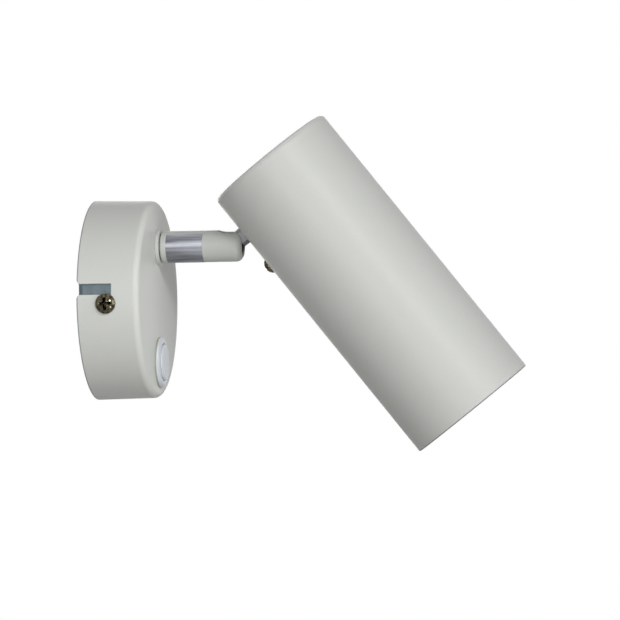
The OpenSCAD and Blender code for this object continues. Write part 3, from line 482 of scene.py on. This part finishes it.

abs_white = surface("moulded_abs_white", ("#D5DBE3", "#DCE1E8"), cloud=6.0, rough=(0.26, 0.34),
                    grain=0.4, lift=0.004, IOR=1.53)
# Painted shade: an olive line at the bezel's foot
band_of(abs_white, *BEZEL_FOOT_SHADE, "#A9AA9A")
nylon = surface("natural_nylon", ("#DEDBD0", "#E6E4DB"), cloud=5.0, rough=(0.38, 0.48),
                grain=0.4, lift=0.010, IOR=1.53, Subsurface_Weight=0.15,
                Subsurface_Scale=0.5 * mm)
pvc_grey = surface("soft_pvc_grey", ("#63676A", "#74787A"), cloud=4.0, rough=(0.50, 0.62),
                   grain=0.3, lift=0.012, IOR=1.52)
steatite = surface("glazed_steatite", ("#E2DED4", "#EBE8E0"), cloud=4.0, rough=(0.14, 0.26),
                   grain=0.6, lift=0.015, IOR=1.52)
lamp_plastic = surface("spark_textured_plastic", ("#DEDEDB", "#E6E6E3"), cloud=6.0,
                       rough=(0.45, 0.55), grain=0.35, lift=0.020, IOR=1.55)
silicone = surface("silicone_sleeve_white", ("#DCD8CC", "#E6E3DA"), cloud=3.0,
                   rough=(0.40, 0.52), grain=0.3, lift=0.010, IOR=1.42)

# %% [markdown]
# ## Leads
# The mains leads are PVC on stranded copper, smoother than the grommet. The earth lead is green
# with yellow stripes. It curves in one plane, so slanted bands from a Wave texture cross it as the
# stripes of a twisted lead do. Diagonal bands follow the sum of the three coordinates, and at
# scale 1 they repeat every tau / 10.

# %% Leads
STRIPE_STEP = 20.1                 # mm from one yellow band to the next, in that sum

def lead(colour, deep, pale):
    """The insulation of a lead"""
    return surface("pvc_lead_" + colour, (deep, pale), cloud=3.0, rough=(0.30, 0.40),
                   grain=0.3, lift=0.006, IOR=1.52)

pvc_brown = lead("brown", "#4C2F1E", "#5B3A26")
pvc_black = lead("black", "#1A1A1B", "#262627")
pvc_blue = lead("blue", "#1F4E8C", "#2C60A2")
pvc_striped = lead("green_yellow", "#3B7A34", "#458A3C")
tree, place = opened(pvc_striped)
bands = add(tree, "TexWave", bands_direction="DIAGONAL", Vector=place,
            Scale=per_metre(STRIPE_STEP) * math.tau / 10, Distortion=0.3)
stripe = add(tree, "MapRange", Value=bands, From_Min=0.45, From_Max=0.55)
mix_in(pvc_striped, stripe, "#D8C63A")

# %% [markdown]
# ## Light board
# Seven light-emitting chips sit on a white board behind the lens. Each chip is a square of cured
# yellow phosphor gel, a little higher than the board, so height along the head picks the chips
# out.

# %% Light board
LAMP_RECESS = 15.3                 # mm from the tube's rim in to the lamp's face
CUP_DEPTH, CUP_FLOOR = 7, 1        # mm: the lamp's cup behind its face, and its floor's thickness
CHIP_FOOT = 1.35                   # mm above that floor: past the board's top, below the chips'
CHIP_BAND = 2                      # mm, enough for a whole chip

chips_from = HEAD_LENGTH - LAMP_RECESS - CUP_DEPTH + CUP_FLOOR + CHIP_FOOT
board = surface("solder_masked_board", ("#E4E4E0", "#ECECE8"), cloud=4.0, rough=(0.32, 0.42),
                grain=0.3, lift=0.006, IOR=1.53)
band_of(board, chips_from, chips_from + CHIP_BAND, "#DDBB45", head_back, ahead)

# %% [markdown]
# ## Clear polycarbonate
# The lamp's front is one moulding of clear polycarbonate. It shows the board and its chips behind
# it, a little blurred by the mould's fine texture.

# %% Clear polycarbonate
clear = surface("clear_polycarbonate", ("#F2F5F5", "#F8FAFA"), cloud=8.0, rough=(0.03, 0.07),
                grain=0.8, lift=0.004, IOR=1.585, Transmission_Weight=1.0)

# %% [markdown]
# ## Finishes for the frame
# Each part of the frame names the slot that it takes its finish from, so a table from slot to
# finish paints them all. Four parts then get a finish of their own: three copies of the powder
# coat, which carry painted light and shade, and the darker brass.

# %% Give the frame its finishes
FINISHES = {
    "paint": powder, "zinc": zinc, "dark_nickel": dark_nickel, "stem_nickel": satin_nickel,
    "brass": brass, "switch_white": abs_white, "nylon_white": nylon, "grommet_grey": pvc_grey,
    "lead_white": silicone, "lead_brown": pvc_brown, "lead_black": pvc_black,
    "lead_blue": pvc_blue, "lead_green_yellow": pvc_striped, "ceramic": steatite,
    "lamp_white": lamp_plastic, "lamp_board": board, "lens": clear,
}
OWN_FINISHES = {"canopy": canopy_powder_painted_lighter, "arm_tube": arm_powder_painted_darker, "head_shell": head_powder_with_painted_rims,
                "arm_insert": dulled_brass}
for node in frame["nodes"].values():
    for slot in node.material_slots:
        slot.material = FINISHES[slot.material.name]
for name, finish in OWN_FINISHES.items():
    frame["nodes"][name].material_slots[0].material = finish
print("finishes:", len(FINISHES) + len(OWN_FINISHES))

# %% [markdown]
# ## Tools for modelling
# New pieces start as a primitive of the right size and are shaped in edit mode, where faces are
# picked by their place or by the way they face. Turned pieces, such as screws, are a disc that is
# extruded and resized from ring to ring, like a form on a lathe. Domes get their rings from the
# ball that they are cut from.

# %% Tools for shaping
def settle():
    """Puts the selected object's place, turn and size into its mesh"""
    bpy.ops.object.transform_apply(location=True, rotation=True, scale=True)

def edit_faces():
    """Goes to edit mode, where faces are selected"""
    bpy.ops.object.mode_set(mode="EDIT")
    bpy.ops.mesh.select_mode(type="FACE")

def face_outwards():
    """Turns all faces outwards and leaves edit mode"""
    bpy.ops.mesh.select_all(action="SELECT")
    bpy.ops.mesh.normals_make_consistent(inside=False)
    bpy.ops.object.mode_set(mode="OBJECT")

def pick(piece, fits):
    """In edit mode, selects the faces for which fits(spot, normal) holds, and no others"""
    bpy.ops.mesh.select_all(action="DESELECT")
    shape = bmesh.from_edit_mesh(piece.data)
    for face in shape.faces:
        face.select_set(fits(face.calc_center_median(), face.normal))
    bmesh.update_edit_mesh(piece.data)

def turned(name, rings, sides=96):
    """A solid on the Z axis from its rings, each a radius and a height in millimetres"""
    (radius, height), rest = rings[0], rings[1:]
    bpy.ops.object.select_all(action="DESELECT")
    bpy.ops.mesh.primitive_circle_add(vertices=sides, radius=radius * mm, fill_type="NGON",
                                      location=(0, 0, height * mm))
    piece = bpy.context.object
    piece.name = name
    settle()
    edit_faces()
    bpy.ops.mesh.select_all(action="SELECT")
    for wide, high in rest:
        rise = (0, 0, (high - height) * mm)
        bpy.ops.mesh.extrude_region_move(TRANSFORM_OT_translate={"value": rise})
        bpy.ops.transform.resize(value=(wide / radius, wide / radius, 1),
                                 center_override=(0, 0, high * mm))
        radius, height = wide, high
    face_outwards()
    return piece

def cap(radius, height, base, steps=9, tip=0.12):
    """Rings of a dome over a circle of this radius, from its foot to nearly its top"""
    ball = (radius ** 2 + height ** 2) / (2 * height)
    widths = [radius * (1 - step / steps) for step in range(steps)] + [tip]
    return [(wide, base + height - ball + math.sqrt(ball ** 2 - wide ** 2)) for wide in widths]

print("a dome 8 mm across has", len(cap(4, 2, 0)), "rings")

# %% [markdown]
# ## Tools for finishing a piece
# Modifiers are applied at once, so that a piece's mesh is its real shape. A finished piece is
# moved into the frame, smoothed, painted, and handed to the body that it moves with. TIPPED lays
# a piece that was made upright on its side.

# %% Tools for finishing
TIPPED = Matrix.Rotation(math.radians(90), 4, "X")     # lays the Z axis along -Y

def alone(piece):
    """Selects one object and nothing else"""
    bpy.ops.object.select_all(action="DESELECT")
    piece.select_set(True)
    bpy.context.view_layer.objects.active = piece

def apply_modifier(piece, kind, **settings):
    """Adds a modifier with these settings, and makes its result the mesh"""
    alone(piece)
    modifier = piece.modifiers.new(kind.lower(), kind)
    for name, value in settings.items():
        setattr(modifier, name, value)
    bpy.ops.object.modifier_apply(modifier=modifier.name)

def copy_of(piece, name):
    """A second object with a mesh of its own"""
    twin = piece.copy()
    twin.data = piece.data.copy()
    twin.name = name
    bpy.context.collection.objects.link(twin)
    return twin

def hand_over(piece, place, finish, body, smooth=35):
    """Moves a finished piece into the frame, paints it, and lets it ride on its body"""
    piece.matrix_world = place
    alone(piece)
    settle()
    bpy.ops.object.shade_smooth_by_angle(angle=math.radians(smooth))
    piece.data.materials.clear()
    piece.data.materials.append(finish)
    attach(piece, body)
    print(piece.name, "has", len(piece.data.polygons), "faces")

print("TIPPED turns up into", [round(v) for v in TIPPED @ Vector((0, 0, 1))])

# %% [markdown]
# ## Domed screw
# The screws have a low dome over a short rim, and a stamped cross recess: four tapered arms with
# rounded edges that meet in a deep middle. The head is turned, the recess is cut by a cross that
# was extruded from a cube and tapered, and a bevel rounds what the cut left sharp. All measures
# of the recess are shares of the head, so that one function makes every size.

# %% Screw with a cross recess
# Shares of the head's width
CROSS_REACH, CROSS_ARM = 0.84, 0.19    # the cross from end to end, and the width of one arm
ROUNDING = 0.012                       # of the edges that the cut left
# Shares of the head's height
CROSS_DEEP, CROSS_TOP = 0.75, 1.05     # how deep the cutter is, and how high its top stands
HEAD_RIM = 0.28                        # the head's straight rim

CROSS_TAPER = 0.5                      # the size of the recess's floor against its top
SHARP = math.radians(32)               # edges that turn more than this are rounded
TIP = 0.5                              # mm, the chamfer on the shank's end

def cross_cutter(reach, width, deep, top):
    """A cross that narrows downwards: its reach, its arms' width, its depth, its top's height"""
    bpy.ops.object.select_all(action="DESELECT")
    bpy.ops.mesh.primitive_cube_add(size=mm, location=(0, 0, (top - deep / 2) * mm),
                                    scale=(width, width, deep))
    cutter = bpy.context.object
    settle()
    edit_faces()
    pick(cutter, lambda spot, normal: abs(normal.z) < 0.5)
    outwards = (reach - width) / 2 * mm
    bpy.ops.mesh.extrude_faces_move(TRANSFORM_OT_shrink_fatten={"value": outwards})
    pick(cutter, lambda spot, normal: normal.z < -0.5)
    bpy.ops.transform.resize(value=(CROSS_TAPER, CROSS_TAPER, 1), center_override=(0, 0, 0))
    bpy.ops.object.mode_set(mode="OBJECT")
    return cutter

def cross_screw(name, head, tall, shank, length):
    """A domed screw on the Z axis, its head above zero and its shank below, in millimetres"""
    rim = HEAD_RIM * tall
    point = [(shank / 2 - TIP, -length - TIP), (shank / 2, -length), (shank / 2, 0)]
    piece = turned(name, point + [(head / 2, 0)] + cap(head / 2, tall - rim, rim))
    cutter = cross_cutter(CROSS_REACH * head, CROSS_ARM * head, CROSS_DEEP * tall,
                          CROSS_TOP * tall)
    apply_modifier(piece, "BOOLEAN", operation="DIFFERENCE", solver="EXACT", object=cutter)
    bpy.data.objects.remove(cutter)
    apply_modifier(piece, "BEVEL", width=ROUNDING * head * mm, segments=2,
                   limit_method="ANGLE", angle_limit=SHARP)
    return piece

print("a recess takes", CROSS_REACH, "of a head's width")

# %% [markdown]
# ## Lock screws
# Two pan-head screws stand out through the canopy's sides and hold it on the bracket by a twist.
# They are one screw and its copy, which has its own mesh, at opposite ends of the canopy's width:
# the near one below the canopy's axis, the far one as much above it.

# %% Lock screws
LOCK_HEAD, LOCK_TALL = 8.0, 2.5    # mm: the head's width and height
LOCK_SHANK, LOCK_LENGTH = 4.0, 7.0     # mm: the shank's width and length
CROSS_TURN = math.radians(4)       # how far from upright the cross came to stand

low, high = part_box("lock_screws")
seat = high.x / mm - LOCK_TALL     # from the canopy's axis to the underside of a head
lock_out = (low.y + high.y) / 2    # from the wall
lock_up = high.z - LOCK_HEAD / 2 * mm
first = cross_screw("lock_screw_near", LOCK_HEAD, LOCK_TALL, LOCK_SHANK, LOCK_LENGTH)
second = copy_of(first, "lock_screw_far")
for screw, side in ((first, -1), (second, 1)):
    facing = Vector((side, 0, 0)).to_track_quat("Z", "Y") @ Quaternion((0, 0, 1), CROSS_TURN)
    spot = Vector((side * seat * mm, lock_out, side * lock_up))
    lock_place = Matrix.Translation(spot) @ facing.to_matrix().to_4x4()
    hand_over(screw, lock_place, dark_nickel, "base")
    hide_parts("lock_screws")

# %% [markdown]
# ## Strap screw
# A smaller screw of the same kind goes through the head's wall from below and holds the strap
# that carries the lamp holder. In the photograph it stands in the shade of the head, nearly black
# against white.

# %% Strap screw
STRAP_HEAD, STRAP_TALL = 6.4, 2.4  # mm: the head's width and height
STRAP_SHANK, STRAP_LENGTH = 3.0, 4.5   # mm: the shank's width and length
HEAD_RADIUS = 27.25                # mm, the tube
SCREW_AHEAD = 16.0                 # mm from the stem to the screw, along the head

screw = cross_screw("strap_screw_domed", STRAP_HEAD, STRAP_TALL, STRAP_SHANK, STRAP_LENGTH)
under_head = Matrix.Translation(Vector((0, -HEAD_RADIUS, STEM_BACK + SCREW_AHEAD)) * mm)
hand_over(screw, head_place @ under_head @ TIPPED, dark_nickel, "head")
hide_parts("strap_screw")

# %% [markdown]
# ## Foil band
# A metallised polyester band is wrapped round the arm. A tube without ends gives its curve, the
# faces where the band is open are deleted, and Solidify gives it the thickness of foil and glue.
# It reaches from a little above the arm's near side, down and right round its underside.

# %% Foil band
ARM_RADIUS, FOIL = 6.35, 0.05      # mm: the arm, and the foil with its glue
FOIL_LIFT = 0.015                  # mm, so that the two surfaces don't coincide
BAND_FROM, BAND_TO = 29.1, 44.0    # mm from the wall
OPEN_FROM, OPEN_TO = -15.0, 130.0  # degrees that it leaves open, from the far side over the top
BAND_SIDES = 144

bpy.ops.object.select_all(action="DESELECT")
bpy.ops.mesh.primitive_cylinder_add(vertices=BAND_SIDES, radius=(ARM_RADIUS + FOIL_LIFT) * mm,
                                    depth=(BAND_TO - BAND_FROM) * mm, end_fill_type="NOTHING")
band = bpy.context.object
band.name = "foil_band"
edit_faces()
pick(band, lambda spot, normal: OPEN_FROM < math.degrees(math.atan2(spot.y, spot.x)) < OPEN_TO)
bpy.ops.mesh.delete(type="FACE")
face_outwards()
apply_modifier(band, "SOLIDIFY", thickness=FOIL * mm, offset=1.0)
print("the foil is open over", OPEN_TO - OPEN_FROM, "degrees")

# %% [markdown]
# The foil is thin aluminium under a satin film, and shows a cool purple-grey. Long streaks of tone
# run along the arm: partly the rolled foil's lines, partly painted reflection, the bands that a
# glossy tube shows round it. Glue under it gives a slight ripple.

# %% Foil's finish
ARM_UP = 21.0                      # mm from the canopy's axis to the arm's

# Partly painted reflection: streaks of tone along the arm, lighter and darker round it
foil = surface("metallised_polyester_foil", ("#6A6C72", "#A9AAB2"), cloud=1.6,
               rough=(0.36, 0.46), grain=0.6, lift=0.006, stretch=(1, 0.06, 1), Metallic=1.0)
band_middle = Vector((0, -(BAND_FROM + BAND_TO) / 2, ARM_UP)) * mm
hand_over(band, Matrix.Translation(band_middle) @ TIPPED, foil, "arm")

# %% [markdown]
# ## Return spring
# A short steel spring under the button pushes it out again. It is one wire, wound on a mandrel, so
# a round section is swept up a helix by the Screw modifier, and its two ends are closed. The
# frame's spring keeps its length, and this one takes its place.

# %% Return spring
SPRING_WIRE = 0.6                  # mm, the wire's thickness
SPRING_TURNS, TURN_STEPS = 3.5, 24 # how often the wire goes round, and the steps of one round
WIRE_SIDES = 10

low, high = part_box("switch_spring")
tall = high.y - low.y
coil_radius = (high.x - low.x) / 2 - SPRING_WIRE / 2 * mm
bpy.ops.object.select_all(action="DESELECT")
bpy.ops.mesh.primitive_circle_add(vertices=WIRE_SIDES, radius=SPRING_WIRE / 2 * mm,
                                  rotation=(math.radians(90), 0, 0),
                                  location=(coil_radius, 0, 0))
spring = bpy.context.object
spring.name = "button_return_spring"
settle()
apply_modifier(spring, "SCREW", angle=SPRING_TURNS * math.tau, steps=int(SPRING_TURNS * TURN_STEPS),
               screw_offset=tall - SPRING_WIRE * mm)
edit_faces()
bpy.ops.mesh.select_all(action="SELECT")
bpy.ops.mesh.fill_holes(sides=0)
face_outwards()
foot = Vector(((low.x + high.x) / 2, high.y, (low.z + high.z) / 2))
first_turn = foot - Vector((0, SPRING_WIRE / 2 * mm, 0))
hand_over(spring, Matrix.Translation(first_turn) @ TIPPED, zinc, "base", smooth=60)
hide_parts("switch_spring")
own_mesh(spring)

# %% [markdown]
# ## Lamp's front
# The real lamp's front is a clear disc with a raised lens over each chip. The frame has a plain
# dome there. A disc with a stepped rim is turned, a low dome is turned once and copied to the
# seven chips, and a union makes them one moulding, because clear plastic shows every face inside.

# %% Lamp's front
FRONT_RINGS = [                    # radius and height in mm: underside, side, rim, step, face
    (20.5, 0.0), (22.5, 0.0), (22.5, 1.3), (22.1, 1.6), (20.4, 1.6), (20.2, 1.4), (0.2, 1.4),
]
FRONT_DROP = 2.8                   # mm from the lamp's face to the disc's underside
LENS_RADIUS, LENS_RISE = 5.1, 1.3  # mm: one raised lens
LENS_ROOT, LENS_FOOT = 0.9, 1.35   # mm: where it starts inside the disc, and where its dome does
CHIP_RING, RING_CHIPS = 11.0, 6    # mm: the ring of chips round the middle one, and their number

front = turned("lamp_front_lens", FRONT_RINGS)
dome = cap(LENS_RADIUS, LENS_RISE, LENS_FOOT, steps=7, tip=0.3)
bump = turned("raised_lens", [(LENS_RADIUS, LENS_ROOT)] + dome, sides=48)
ring = [(CHIP_RING, math.radians(360 / RING_CHIPS * chip)) for chip in range(RING_CHIPS)]
for away, turn in [(0, 0)] + ring:
    lens = copy_of(bump, "lens_on_chip")
    lens.location = Vector((math.cos(turn), math.sin(turn), 0)) * away * mm
    bpy.context.view_layer.update()
    apply_modifier(front, "BOOLEAN", operation="UNION", solver="EXACT", object=lens)
    bpy.data.objects.remove(lens)
bpy.data.objects.remove(bump)
front_up = Matrix.Translation(Vector((0, 0, HEAD_LENGTH - LAMP_RECESS - FRONT_DROP)) * mm)
hand_over(front, head_place @ front_up, clear, "head")
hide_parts("lamp_lens")

# %% [markdown]
# ## Colours of the picture
# The Standard view transform shows colours as they are written.

# %% Output for the render
bpy.context.scene.view_settings.view_transform = "Standard"
